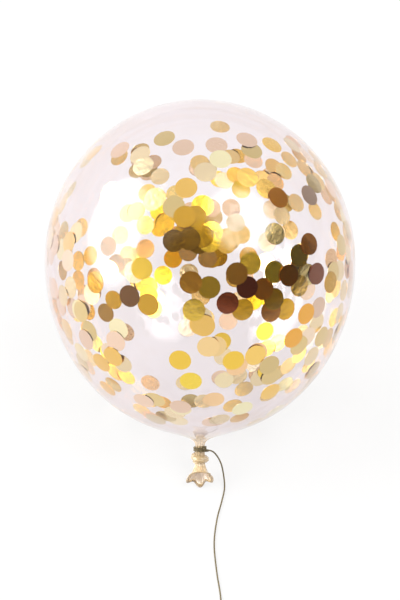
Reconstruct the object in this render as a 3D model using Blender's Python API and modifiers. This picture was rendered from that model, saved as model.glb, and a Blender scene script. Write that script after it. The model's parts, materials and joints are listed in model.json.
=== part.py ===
"""Confetti balloon: a knotted round latex balloon lying loose, with a thin string tied to its neck.

Lengths are in metres and +Z is up. The balloon is drawn upright about its own axis, crown up and
neck down, in the frame of an empty. That empty then leans it over until its side and its rolled lip
both touch the surface at height zero, and centres it over the origin.
"""

import math

import bmesh
import bpy
from mathutils import Matrix, Vector

# Balloon body, measured from its widest circle along its own axis
BODY_RADIUS = 0.145
CROWN_HEIGHT = 0.151
BASE_DEPTH = 0.163
SHOULDER_ANGLE = math.radians(73)  # where the round base starts to draw in to the neck
SHOULDER_REACH = 0.024
FLAT_DEPTH = 0.0024  # how far the side that it lies on is pressed flat

# Neck, knot and tail
NECK_RADIUS = 0.0045
NECK_START = 0.009  # below the round base
NECK_LENGTH = 0.0068
NECK_BLEND = 0.008
KNOT_RADIUS = 0.0068
KNOT_LENGTH = 0.0105
STRAND_RADIUS = 0.0031
STRAND_TURNS = 1.7
STRAND_TILT = math.radians(14)
TAIL_RADIUS = 0.0046
TAIL_LENGTH = 0.0160
TAIL_BEND = math.radians(42)  # how far the surface bends it up, away from the balloon's own axis
LIP_RADIUS = 0.0112
LIP_ROLL = 0.0012
TAIL_WALL = 0.0013
TAIL_FLOOR = 0.35  # share of the tail's length where its hollow ends
FOLDS = 5
FOLD_DEPTH = 0.11
LIP_WAVE = 0.0026

# String, and the coil of its further length
CORD_RADIUS = 0.00075
TIE_WRAPS = 3
TIE_KNOT_RADIUS = 0.0021
TIE_KNOT_ANGLE = math.radians(-48)  # round the neck, seen down the axis
COIL_RADIUS = 0.0085
COIL_TURNS_WIDE = 4
COIL_TURNS_HIGH = 4
CORD_POINTS = 64
# Places along the string: metres right of and away from the tie, and the share of the tie's height left
CORD_ROUTE = [
    (0.0000, 0.000, 1.00),
    (0.0085, -0.002, 0.94),
    (0.0150, -0.006, 0.60),
    (0.0180, -0.012, 0.16),
    (0.0185, -0.022, 0.00),
    (0.0160, -0.036, 0.00),
    (0.0112, -0.058, 0.00),
    (0.0085, -0.085, 0.00),
    (0.0105, -0.115, 0.00),
    (0.0140, -0.145, 0.00),
    (0.0142, -0.176, 0.00),
]

GAP = 0.0003  # between pieces that touch
ROUND_STEPS = 56
SMALL_STEPS = 24
ARC_POINTS = 12
FLOOR_BLOCK = 0.6


def arc(start, end, count):
    """Angles from start to end, both included."""
    return [start + (end - start) * i / (count - 1) for i in range(count)]


def bezier(p0, p1, p2, p3, count):
    """Points of a cubic curve, without its first one."""
    points = []
    for i in range(1, count + 1):
        t = i / count
        weights = ((1 - t) ** 3, 3 * t * (1 - t) ** 2, 3 * t * t * (1 - t), t**3)
        pairs = zip(weights, (p0, p1, p2, p3))
        points.append(sum((Vector(p) * w for w, p in pairs), Vector((0.0, 0.0))))
    return [(p.x, p.y) for p in points]


def neck_top():
    """Height where the neck becomes straight."""
    return -BASE_DEPTH - NECK_START


def tail_top():
    return neck_top() - NECK_LENGTH - KNOT_LENGTH


def body_outline():
    """Radius and height down the outside of the body, from the crown to the top of the neck."""
    top_angles = arc(math.pi / 2, 0, ARC_POINTS)
    base_angles = arc(0, SHOULDER_ANGLE, ARC_POINTS)
    crown = [(BODY_RADIUS * math.cos(a), CROWN_HEIGHT * math.sin(a)) for a in top_angles]
    base = [(BODY_RADIUS * math.cos(a), -BASE_DEPTH * math.sin(a)) for a in base_angles]
    start = Vector(base[-1])
    along = Vector((-BODY_RADIUS * math.sin(SHOULDER_ANGLE), -BASE_DEPTH * math.cos(SHOULDER_ANGLE)))
    end = Vector((NECK_RADIUS, neck_top()))
    shoulder = bezier(
        start, start + along.normalized() * SHOULDER_REACH, end + Vector((0, NECK_BLEND)), end, 8
    )
    return [(0.0, CROWN_HEIGHT)] + crown[1:] + base[1:] + shoulder


def knot_outline():
    """The neck and the swelling of the knot below it."""
    bottom = neck_top() - NECK_LENGTH
    swell = KNOT_RADIUS - NECK_RADIUS
    steps = [i / 6 for i in range(6)]
    return [(NECK_RADIUS + swell * math.sin(math.pi * s), bottom - KNOT_LENGTH * s) for s in steps]


def tail_outline():
    """The flared tail: down its outside, round the rolled lip and up inside to the axis."""

    def flare(share):
        return TAIL_RADIUS + (LIP_RADIUS - TAIL_RADIUS) * share**1.4, tail_top() - TAIL_LENGTH * share

    outside = [flare(s) for s in (0.0, 0.2, 0.4, 0.6, 0.8, 0.9)]
    centre = (LIP_RADIUS - TAIL_WALL / 2, tail_top() - TAIL_LENGTH + LIP_ROLL)
    lip = [
        (centre[0] + LIP_ROLL * math.cos(a), centre[1] + LIP_ROLL * math.sin(a))
        for a in arc(math.radians(40), math.radians(-205), 7)
    ]
    inside = [(flare(s)[0] - TAIL_WALL, flare(s)[1]) for s in (0.8, 0.6, TAIL_FLOOR)]
    return outside + lip + inside + [(0.0, inside[-1][1])]


def tail_point(radius, height, angle):
    """Where a point of the turned tail goes when its lip is gathered into folds and the tail is bent.

    One fold points down at the surface, at +Y of the balloon's own frame, and the tail bends to -Y.
    """
    share = (tail_top() - height) / TAIL_LENGTH
    fold = math.cos(FOLDS * (angle - math.pi / 2))
    wide = radius * (1 + FOLD_DEPTH * share * fold)
    bend = TAIL_BEND * (share - LIP_WAVE / TAIL_LENGTH * share * (1 - fold) / 2)
    bend_radius = TAIL_LENGTH / TAIL_BEND
    across = wide * math.sin(angle)
    return Vector(
        (
            wide * math.cos(angle),
            across * math.cos(bend) - bend_radius * (1 - math.cos(bend)),
            tail_top() - bend_radius * math.sin(bend) - across * math.sin(bend),
        )
    )


def tail_points():
    """The tail's corners in the balloon's own frame."""
    angles = [2 * math.pi * i / ROUND_STEPS for i in range(ROUND_STEPS)]
    return [tail_point(r, z, a) for r, z in tail_outline() for a in angles]


def lowest_of_body(lean):
    """Height of the lowest point of the round body when its axis leans by this angle."""
    return min(z * math.cos(lean) - r * math.sin(lean) for r, z in body_outline())


def lowest_of_tail(corners, lean):
    return min(p.z * math.cos(lean) - p.y * math.sin(lean) for p in corners)


def resting_lean():
    """The lean at which the pressed side and the lip touch the same surface, found by halving."""
    corners = tail_points()
    low, high = math.radians(15), math.radians(85)
    for _ in range(40):
        lean = (low + high) / 2
        if lowest_of_body(lean) + FLAT_DEPTH > lowest_of_tail(corners, lean):
            low = lean
        else:
            high = lean
    return lean


def resting_frame():
    """Matrix that takes the balloon's own frame to where it lies, centred over the origin."""
    lean = resting_lean()
    outline = body_outline()
    body_front = min(z * math.sin(lean) - r * math.cos(lean) for r, z in outline)
    tail_front = min(p.z * math.sin(lean) + p.y * math.cos(lean) for p in tail_points())
    front = min(body_front, tail_front)
    back = max(z * math.sin(lean) + r * math.cos(lean) for r, z in outline)
    place = Vector((0, -(front + back) / 2, -lowest_of_body(lean) - FLAT_DEPTH))
    return Matrix.Translation(place) @ Matrix.Rotation(-lean, 4, "X")


def tie_ring_radius():
    """Radius of the middle of the wraps round the neck."""
    return NECK_RADIUS + GAP + CORD_RADIUS


def tie_height():
    """Height on the axis of the middle of the wraps."""
    return neck_top() - NECK_LENGTH / 2


def tie_knot_place():
    """Centre of the small knot on the wraps, in the balloon's own frame."""
    reach = tie_ring_radius() + TIE_KNOT_RADIUS / 2
    return Vector(
        (reach * math.cos(TIE_KNOT_ANGLE), reach * math.sin(TIE_KNOT_ANGLE), tie_height())
    )


def cord_bed():
    """Height of the middle of a cord that lies on the surface."""
    return CORD_RADIUS + GAP


def smooth_route(points, count):
    """Evenly spaced points on a Catmull-Rom curve through the given ones."""
    ends = [2 * points[0] - points[1]] + points + [2 * points[-1] - points[-2]]
    fine = []
    for p0, p1, p2, p3 in zip(ends, ends[1:], ends[2:], ends[3:]):
        for i in range(40):
            t = i / 40
            bend = 2 * p0 - 5 * p1 + 4 * p2 - p3
            twist = 3 * p1 - 3 * p2 + p3 - p0
            fine.append((2 * p1 + (p2 - p0) * t + bend * t * t + twist * t**3) / 2)
    fine.append(points[-1])
    length = [0.0]
    for a, b in zip(fine, fine[1:]):
        length.append(length[-1] + (b - a).length)
    spaced = []
    k = 0
    for i in range(count):
        wanted = length[-1] * i / (count - 1)
        while k < len(fine) - 2 and length[k + 1] < wanted:
            k += 1
        share = (wanted - length[k]) / (length[k + 1] - length[k])
        spaced.append(fine[k].lerp(fine[k + 1], share))
    return spaced


def cord_line():
    """The string's middle line, from the face of its tie to where its coil starts."""
    tie = resting_frame() @ tie_knot_place()
    bed = cord_bed()
    places = [Vector((tie.x + x, tie.y + y, bed + (tie.z - bed) * lift)) for x, y, lift in CORD_ROUTE]
    first_run = (places[1] - places[0]).normalized()
    places[0] += first_run * (TIE_KNOT_RADIUS + GAP)
    line = smooth_route(places, CORD_POINTS)
    for place in line:
        place.z = max(place.z, bed)
    return line


def material(name, colour, roughness, metallic=0.0, alpha=1.0):
    made = bpy.data.materials.new(name)
    made.use_nodes = True
    shader = made.node_tree.nodes["Principled BSDF"]
    shader.inputs["Base Color"].default_value = (*colour, 1.0)
    shader.inputs["Roughness"].default_value = roughness
    shader.inputs["Metallic"].default_value = metallic
    shader.inputs["Alpha"].default_value = alpha
    return made


def add_object(name, data, collection, parent=None):
    made = bpy.data.objects.new(name, data)
    collection.objects.link(made)
    made.parent = parent
    return made


def as_cutter(made):
    made.hide_render = True
    made.display_type = "WIRE"
    return made


def baked(source):
    """The evaluated mesh of an object that is then removed, with its loose seams welded."""
    bpy.context.view_layer.update()
    graph = bpy.context.evaluated_depsgraph_get()
    mesh = bpy.data.meshes.new_from_object(source.evaluated_get(graph))
    bpy.data.objects.remove(source)
    soft = bmesh.new()
    soft.from_mesh(mesh)
    bmesh.ops.remove_doubles(soft, verts=soft.verts, dist=0.00001)
    soft.to_mesh(mesh)
    soft.free()
    return mesh


def turned(name, outline, steps, collection, parent=None, closed=False):
    """A profile of radii and heights, turned about Z."""
    mesh = bpy.data.meshes.new(name)
    edges = [(i, i + 1) for i in range(len(outline) - 1)]
    if closed:
        edges.append((len(outline) - 1, 0))
    mesh.from_pydata([(r, 0.0, z) for r, z in outline], edges, [])
    made = add_object(name, mesh, collection, parent)
    screw = made.modifiers.new("turn", "SCREW")
    screw.steps = steps
    screw.render_steps = steps
    screw.use_merge_vertices = True
    screw.merge_threshold = 0.00001
    return made


def boolean(made, operation, other, crosses_itself=False):
    step = made.modifiers.new(operation.lower(), "BOOLEAN")
    step.operation = operation
    step.solver = "EXACT"
    step.use_self = crosses_itself
    step.object = other


def knot_strand(cutters, parent):
    """The loop of rolled latex that wraps the knot, as a tube whose ends sink into it."""
    count = 30
    middle = neck_top() - NECK_LENGTH - KNOT_LENGTH / 2
    rise = KNOT_LENGTH - STRAND_RADIUS
    tilt = Matrix.Rotation(STRAND_TILT, 3, "X")
    curve = bpy.data.curves.new("knot_strand", "CURVE")
    curve.dimensions = "3D"
    curve.bevel_depth = STRAND_RADIUS
    curve.bevel_resolution = 2
    curve.use_fill_caps = True
    spline = curve.splines.new("POLY")
    spline.points.add(count - 1)
    for i, point in enumerate(spline.points):
        share = i / (count - 1)
        angle = 2 * math.pi * STRAND_TURNS * share
        reach = KNOT_RADIUS * 0.78 * min(1.0, math.sin(math.pi * share) * 1.6 + 0.12)
        place = Vector((reach * math.cos(angle), reach * math.sin(angle), rise * (0.5 - share)))
        point.co = (*(tilt @ place + Vector((0, 0, middle))), 1.0)
    mesh = baked(add_object("knot_strand_curve", curve, cutters))
    return as_cutter(add_object("knot_strand", mesh, cutters, parent))


def balloon(parts, cutters, frame):
    """Body, neck, knot and tail: one piece of latex, sealed and so solid."""
    outline = body_outline() + knot_outline() + tail_outline()
    mesh = baked(turned("balloon_turned", outline, ROUND_STEPS, parts))
    for vertex in mesh.vertices:
        x, y, z = vertex.co
        if z < tail_top():
            vertex.co = tail_point(math.hypot(x, y), z, math.atan2(y, x))
    made = add_object("balloon", mesh, parts, frame)
    boolean(made, "UNION", knot_strand(cutters, frame), crosses_itself=True)
    bpy.ops.mesh.primitive_cube_add(size=FLOOR_BLOCK, location=(0, 0, -FLOOR_BLOCK / 2))
    floor = as_cutter(bpy.context.object)
    floor.name = "surface_below"
    move_to(floor, cutters)
    boolean(made, "DIFFERENCE", floor)
    return made


def move_to(made, collection):
    for old in list(made.users_collection):
        old.objects.unlink(made)
    collection.objects.link(made)


def string_tie(parts, cutters, frame):
    """The wraps round the neck, side by side, and the small knot that the string leaves from."""
    pitch = 2 * CORD_RADIUS
    top = tie_height() + pitch * TIE_WRAPS / 2
    inner = tie_ring_radius() - CORD_RADIUS
    wraps = []
    for wrap in range(TIE_WRAPS):
        middle = top - pitch * (wrap + 0.5)
        for a in arc(math.radians(72), math.radians(-72), 5):
            wraps.append((tie_ring_radius() + CORD_RADIUS * math.cos(a), middle + CORD_RADIUS * math.sin(a)))
    outline = [(inner, wraps[0][1])] + wraps + [(inner, wraps[-1][1])]
    mesh = baked(turned("tie_turned", outline, SMALL_STEPS, parts, closed=True))
    made = add_object("string_tie", mesh, parts, frame)
    ball = bmesh.new()
    bmesh.ops.create_uvsphere(ball, u_segments=16, v_segments=10, radius=TIE_KNOT_RADIUS)
    ball_mesh = bpy.data.meshes.new("tie_knot")
    ball.to_mesh(ball_mesh)
    ball.free()
    knot = as_cutter(add_object("tie_knot", ball_mesh, cutters, frame))
    knot.location = tie_knot_place()
    boolean(made, "UNION", knot)
    bore = bmesh.new()
    reach = TIE_WRAPS * pitch + 2 * TIE_KNOT_RADIUS
    bmesh.ops.create_cone(
        bore, cap_ends=True, segments=SMALL_STEPS, radius1=inner, radius2=inner, depth=reach
    )
    bore_mesh = bpy.data.meshes.new("tie_bore")
    bore.to_mesh(bore_mesh)
    bore.free()
    hole = as_cutter(add_object("tie_bore", bore_mesh, cutters, frame))
    hole.location = (0, 0, tie_height())
    boolean(made, "DIFFERENCE", hole)
    return made


def string(parts):
    """The stretch of string that shows: down from its tie and away over the surface."""
    curve = bpy.data.curves.new("string", "CURVE")
    curve.dimensions = "3D"
    curve.bevel_depth = CORD_RADIUS
    curve.bevel_resolution = 2
    curve.use_fill_caps = True
    line = cord_line()
    spline = curve.splines.new("POLY")
    spline.points.add(len(line) - 1)
    for point, place in zip(spline.points, line):
        point.co = (*place, 1.0)
    return add_object("string", curve, parts)


def string_coil(parts):
    """The ring that the coiled length of the string fills, flat on the surface."""
    half = COIL_TURNS_WIDE * CORD_RADIUS + GAP
    height = 2 * COIL_TURNS_HIGH * CORD_RADIUS + 2 * GAP
    corner = 0.4 * half
    outline = [
        (COIL_RADIUS - half, height - corner),
        (COIL_RADIUS - half + corner, height),
        (COIL_RADIUS + half - corner, height),
        (COIL_RADIUS + half, height - corner),
        (COIL_RADIUS + half, corner),
        (COIL_RADIUS + half - corner, 0.0),
        (COIL_RADIUS - half + corner, 0.0),
        (COIL_RADIUS - half, corner),
    ]
    made = turned("string_coil", outline, 2 * SMALL_STEPS, parts, closed=True)
    line = cord_line()
    run = (line[-1] - line[-2]).normalized()
    made.location = line[-1] + run * (COIL_RADIUS + half + GAP)
    made.location.z = GAP
    return made


def build():
    for old in list(bpy.data.objects):
        bpy.data.objects.remove(old)
    parts = bpy.data.collections.new("confetti_balloon")
    cutters = bpy.data.collections.new("cutters")
    for collection in (parts, cutters):
        bpy.context.scene.collection.children.link(collection)
    frame = add_object("resting_frame", None, parts)
    frame.matrix_world = resting_frame()

    latex = material("clear_latex", (0.93, 0.90, 0.93), 0.12, alpha=0.45)
    twine = material("string_cotton", (0.30, 0.24, 0.12), 0.7)
    for made, finish in (
        (balloon(parts, cutters, frame), latex),
        (string_tie(parts, cutters, frame), twine),
        (string(parts), twine.copy()),
        (string_coil(parts), twine.copy()),
    ):
        made.data.materials.append(finish)
        if made.type == "MESH":
            made.data.shade_smooth()
            made.data.set_sharp_from_angle(angle=math.radians(40))


build()
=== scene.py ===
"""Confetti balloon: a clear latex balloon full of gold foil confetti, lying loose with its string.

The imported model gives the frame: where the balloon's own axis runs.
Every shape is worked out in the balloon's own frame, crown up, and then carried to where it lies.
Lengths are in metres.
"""

import json
import logging
import math
from collections.abc import Callable, Sequence
from dataclasses import dataclass, field
from enum import Enum
from typing import Any, ClassVar, NamedTuple

import bpy
import numpy as np
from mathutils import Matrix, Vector


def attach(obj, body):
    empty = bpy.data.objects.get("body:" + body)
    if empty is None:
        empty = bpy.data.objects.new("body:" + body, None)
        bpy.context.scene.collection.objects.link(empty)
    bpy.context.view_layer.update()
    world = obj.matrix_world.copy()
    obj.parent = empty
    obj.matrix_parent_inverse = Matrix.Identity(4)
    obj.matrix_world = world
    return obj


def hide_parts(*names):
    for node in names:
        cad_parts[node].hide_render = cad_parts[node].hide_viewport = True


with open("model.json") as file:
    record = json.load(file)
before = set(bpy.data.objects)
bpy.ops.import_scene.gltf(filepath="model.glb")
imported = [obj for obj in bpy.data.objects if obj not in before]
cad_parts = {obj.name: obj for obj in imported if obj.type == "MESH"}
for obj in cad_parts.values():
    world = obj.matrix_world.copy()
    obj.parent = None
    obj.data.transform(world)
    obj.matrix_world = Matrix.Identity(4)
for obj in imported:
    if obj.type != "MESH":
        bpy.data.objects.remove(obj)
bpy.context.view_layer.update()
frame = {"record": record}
log = logging.getLogger("confetti_balloon")

Array = np.ndarray
Values = np.ndarray | float
Colour = tuple[float, float, float]
Mesh, Piece, Material = bpy.types.Mesh, bpy.types.Object, bpy.types.Material
TURN = 2.0 * math.pi
UPWARD = np.array([0.0, 0.0, 1.0])
WHITE = (1.0, 1.0, 1.0, 1.0)
TINY = 1e-9


def smooth(share: Array) -> Array:
    """Soft step from 0 to 1: three times the square less twice the cube of the clamped share."""
    held = np.clip(share, 0.0, 1.0)
    return held * held * (3.0 - 2.0 * held)


def bell(distance: Array, reach: float) -> Array:
    """Bell curve: e to the power of minus the square of the distance over the reach."""
    return np.exp(-((distance / reach) ** 2))


def lifted(height: Array, softness: float) -> Array:
    """Half the sum of a height and the root of its square plus the softness squared: never below 0."""
    return 0.5 * (height + np.sqrt(height * height + softness**2))


def unit(vectors: Array) -> Array:
    """Vectors divided by their lengths."""
    return vectors / np.linalg.norm(vectors, axis=-1, keepdims=True)


def even_angles(count: int) -> Array:
    """Angles that share a full turn evenly, from 0."""
    return TURN * np.arange(count) / count


def polar(radius: Values, angle: Values, height: Values) -> Array:
    """Points by their radius and angle round an upright axis, and their height."""
    return np.stack(np.broadcast_arrays(radius * np.cos(angle), radius * np.sin(angle), height), -1)


def cubic(controls: Sequence[Array], share: Array) -> Array:
    """Cubic curve: four controls, weighted by the four terms of the cube of share plus (1 less share)."""
    weights = [(1 - share) ** 3, 3 * share * (1 - share) ** 2, 3 * share**2 * (1 - share), share**3]
    return sum(weight * control for weight, control in zip(weights, controls))


def linked(name: str, data: Any) -> Piece:
    """A new object of this data, in the scene."""
    bpy.context.scene.collection.objects.link(made := bpy.data.objects.new(name, data))
    return made


def maths(operation: str, swapped: bool = False) -> Callable[..., "Socket"]:
    """Makes an operator of Socket, which adds a Math node.

    Args:
        operation: the node's operation.
        swapped: whether the other value comes first.

    Returns:
        The method.
    """

    def operator(self: "Socket", other: Any = 0.0) -> "Socket":
        """The Math node's result for this socket and another value or socket."""
        values = (other, self) if swapped else (self, other)
        return self.graph.node("Math", dict(enumerate(values)), operation=operation)

    return operator


class Socket:
    """A value in a shader, with the operators that are used and their reflected forms."""

    __add__ = __radd__ = maths("ADD")
    __sub__, __rsub__ = maths("SUBTRACT"), maths("SUBTRACT", swapped=True)
    __mul__ = __rmul__ = maths("MULTIPLY")
    __truediv__, __pow__ = maths("DIVIDE"), maths("POWER")
    cosine, sine, at_least = maths("COSINE"), maths("SINE"), maths("MAXIMUM")

    def __init__(self, graph: "Graph", link: bpy.types.NodeSocket | None) -> None:
        """Keeps the graph and Blender's own socket."""
        self.graph, self.link = graph, link

    def clamped(self) -> "Socket":
        """This, held between 0 and 1."""
        return self.graph.node("Clamp", {"Value": self})

    def step(self, low: float, high: float) -> "Socket":
        """Soft step: 0 where this is low and 1 where it is high, which may be the smaller number."""
        values = {"Value": self, "From Min": low, "From Max": high}
        return self.graph.node("MapRange", values, interpolation_type="SMOOTHSTEP")


class Graph:
    """A node tree that is filled through one method."""

    def __init__(self, tree: bpy.types.NodeTree) -> None:
        """Keeps Blender's node tree and empties it."""
        self.tree = tree
        tree.nodes.clear()

    def node(self, kind: str, values: dict[Any, Any], output: int | str = 0, **settings: Any) -> Socket:
        """Adds a node.

        Args:
            kind: the node's type, after its ShaderNode.
            values: what its sockets hold, by name or number: a plain value or a Socket.
            output: the output to give back.
            settings: its own settings, which are set first. "stops" are a ramp's positions and linear
                colours, from low to high.

        Returns:
            That output.
        """
        made = self.tree.nodes.new("ShaderNode" + kind)
        stops = settings.pop("stops", ())
        ramp = made.color_ramp.elements if stops else []
        while len(ramp) < len(stops):
            ramp.new(1.0)
        for element, (position, colour) in zip(ramp, stops):
            element.position, element.color = position, (*colour, 1.0)
        for name, setting in settings.items():
            setattr(made, name, setting)
        for name, value in values.items():
            if isinstance(value, Socket):
                self.tree.links.new(value.link, made.inputs[name])
            else:
                made.inputs[name].default_value = value
        return Socket(self, made.outputs[output] if made.outputs else None)

    def vectors(self, operation: str, first: Any, second: Any) -> Socket:
        """A Vector Math node's result: a number for a dot product, and otherwise a vector."""
        output = "Value" if operation == "DOT_PRODUCT" else "Vector"
        return self.node("VectorMath", {0: first, 1: second}, output, operation=operation)

    def mixed(self, share: Socket, *colours: Any) -> Socket:
        """A blend of two linear colours or sockets: the first where the share is 0."""
        first, second = (c if isinstance(c, Socket) else (*c, 1.0) for c in colours)
        return self.node("Mix", {0: share, 6: first, 7: second}, 2, data_type="RGBA")

    def noise(self, where: Socket, scale: float, detail: float = 2.0) -> Socket:
        """Smooth noise from about 0 to 1, with scale features a unit and detail octaves."""
        return self.node("TexNoise", {"Vector": where, "Scale": scale, "Detail": detail})

    def place(self, output: str = "Object") -> Socket:
        """The Texture Coordinate node's output of this name."""
        return self.node("TexCoord", {}, output)

    def attribute(self, name: str, output: str = "Fac") -> Socket:
        """A value that the mesh carries for each point."""
        return self.node("Attribute", {}, output, attribute_name=name)

    def bump(self, height: Socket, depth: float, strength: float) -> Socket:
        """A normal for a relief: depth metres where the height is 1, at this share of its strength."""
        return self.node("Bump", {"Height": height, "Distance": depth, "Strength": strength})


@dataclass(frozen=True)
class Finish:
    """A finish. Each kind of it works out its own surface."""

    name: str

    def surface(self, graph: Graph) -> Socket:
        """The finish's shader."""
        raise NotImplementedError

    def make(self) -> Material:
        """Builds the material.

        Returns:
            The material.
        """
        made = bpy.data.materials.new(self.name)
        made.use_nodes = True
        graph = Graph(made.node_tree)
        graph.node("OutputMaterial", {"Surface": self.surface(graph)})
        return made


@dataclass(frozen=True)
class LatexFinish(Finish):
    """Clear stretched latex: a thin film that lets most light through and reflects at its face.

    It is thin, so it doesn't bend the light. Where the rubber is less stretched, at the neck and the
    knot, it is milky and the colour of champagne. That share is the mesh's own value "dense". Where it
    nears one, in the knot's valleys and at the tail's lip, the milk turns dark brown: painted shade in
    those creases and along the lip.
    """

    name: str = "clear_latex"
    tint: Colour = (0.951, 0.918, 0.933)
    milks: tuple[tuple[float, Colour], ...] = (
        (0.00, (0.53, 0.43, 0.462)),
        (0.30, (0.70, 0.57, 0.42)),
        (0.72, (0.70, 0.54, 0.29)),
        # Painted shade: this dark brown end is reached only in the knot's valleys and at the tail's rolled
        # lip.
        (1.00, (0.36, 0.25, 0.13)),
    )
    haze: float = 0.005
    haze_scale: float = 26.0
    rim_haze: float = 0.42
    rim_power: float = 2.6
    dense_haze: float = 0.66
    face_reflection: float = 0.037
    glance_power: float = 5.0
    gloss_roughness: float = 0.055
    dimple_scale: float = 60.0
    dimple_depth: float = 0.0004

    def surface(self, graph: Graph) -> Socket:
        """A mix of a tinted see-through face, a milky one and a glossy one.

        Args:
            graph: the material's graph.

        Returns:
            The mix.
        """
        dense = graph.attribute("dense")
        facing = graph.node("LayerWeight", {"Blend": 0.5}, "Facing")
        cloud = self.haze * (0.5 + graph.noise(graph.place(), self.haze_scale, detail=3.0))
        milkiness = (cloud + self.rim_haze * facing**self.rim_power + self.dense_haze * dense).clamped()
        clear = graph.node("BsdfTransparent", {"Color": (*self.tint, 1.0)})
        dimples = graph.noise(graph.place(), self.dimple_scale)
        relief = graph.bump(dimples, self.dimple_depth, strength=0.25)
        milk = {
            "Base Color": graph.node("ValToRGB", {0: dense}, stops=self.milks),
            "Roughness": 0.42,
            "Specular IOR Level": 0.3,
            "Normal": relief,
        }
        film = graph.node("MixShader", {0: milkiness, 1: clear, 2: graph.node("BsdfPrincipled", milk)})
        gloss = {"Color": WHITE, "Roughness": self.gloss_roughness, "Normal": relief}
        shine = self.face_reflection + (1.0 - self.face_reflection) * facing**self.glance_power
        return graph.node("MixShader", {0: shine.clamped(), 1: film, 2: graph.node("BsdfGlossy", gloss)})


@dataclass(frozen=True)
class FoilFinish(Finish):
    """Metallic confetti foil. Each disc carries its own colour as "tint" and its wear as "crinkle"."""

    name: str = "confetti_foil"
    roughness: float = 0.13
    crinkle_roughness: float = 0.12
    grain_roughness: float = 0.05
    grain_scale: float = 900.0
    crease_scale: float = 160.0
    crease_depth: float = 0.0007

    def surface(self, graph: Graph) -> Socket:
        """A metal whose colour comes from the mesh, with fine creases.

        Args:
            graph: the material's graph.

        Returns:
            The metal.
        """
        where = graph.place()
        crinkle = self.crinkle_roughness * graph.attribute("crinkle")
        grain = self.grain_roughness * graph.noise(where, self.grain_scale)
        creases = graph.noise(where, self.crease_scale, detail=3.0)
        metal = {
            "Base Color": graph.attribute("tint", "Color"),
            "Metallic": 1.0,
            "Roughness": self.roughness + crinkle + grain,
            "Normal": graph.bump(creases, self.crease_depth, strength=0.35),
        }
        return graph.node("BsdfPrincipled", metal)


@dataclass(frozen=True)
class TwineFinish(Finish):
    """Thin twisted cord. Its strands are modelled, and its fibres are a fine relief along them."""

    name: str = "old_gold_twine"
    deep: Colour = (0.040, 0.029, 0.009)
    bright: Colour = (0.17, 0.122, 0.040)
    strands: int = 3
    fibres: float = 26.0
    fibre_slant: float = 3.0
    light: float = 0.45
    strand_painted_shade: float = 0.30
    fibre_light: float = 0.12
    speckle_light: float = 0.35
    speckle_scale: float = 2400.0
    fibre_depth: float = 0.00006

    def surface(self, graph: Graph) -> Socket:
        """A dull fibre finish that follows the cord's own map, with painted shade: darker in the grooves
        between strands and lighter on their tops.

        Args:
            graph: the material's graph.

        Returns:
            The fibre.
        """
        chart = graph.place("UV")
        around, along = (graph.node("SeparateXYZ", {0: chart}, axis) for axis in "XY")
        # Painted shade: the colour follows the strands' lobes, darker in the grooves and lighter on their
        # tops.
        strand = (TURN * self.strands * (around - along)).cosine()
        fibre = (TURN * (self.fibres * around + self.fibre_slant * along)).sine()
        speckle = graph.noise(graph.place(), self.speckle_scale) - 0.5
        light = self.light + self.strand_painted_shade * strand + self.fibre_light * fibre
        light = (light + self.speckle_light * speckle).clamped()
        twine = {
            "Base Color": graph.mixed(light, self.deep, self.bright),
            "Roughness": 0.72,
            "Sheen Weight": 0.25,
            "Normal": graph.bump(fibre * 0.5 + 0.5, self.fibre_depth, strength=0.6),
        }
        return graph.node("BsdfPrincipled", twine)


@dataclass(frozen=True)
class FloorFinish(Finish):
    """Pale matt board, lit from below too, so that shadows on it stay light."""

    name: str = "pale_floor"
    colour: Colour = (0.108, 0.108, 0.109)
    tooth: float = 1.03
    tooth_scale: float = 900.0
    glow: float = 0.775

    def surface(self, graph: Graph) -> Socket:
        """A matt finish with a trace of paper tooth.

        Args:
            graph: the material's graph.

        Returns:
            The board.
        """
        lighter = tuple(c * self.tooth for c in self.colour)
        tooth = graph.noise(graph.place(), self.tooth_scale, detail=3.0)
        board = {
            "Base Color": graph.mixed(tooth, self.colour, lighter),
            "Roughness": 0.9,
            "Specular IOR Level": 0.1,
            "Emission Color": WHITE,
            "Emission Strength": self.glow,
        }
        return graph.node("BsdfPrincipled", board)


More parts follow.
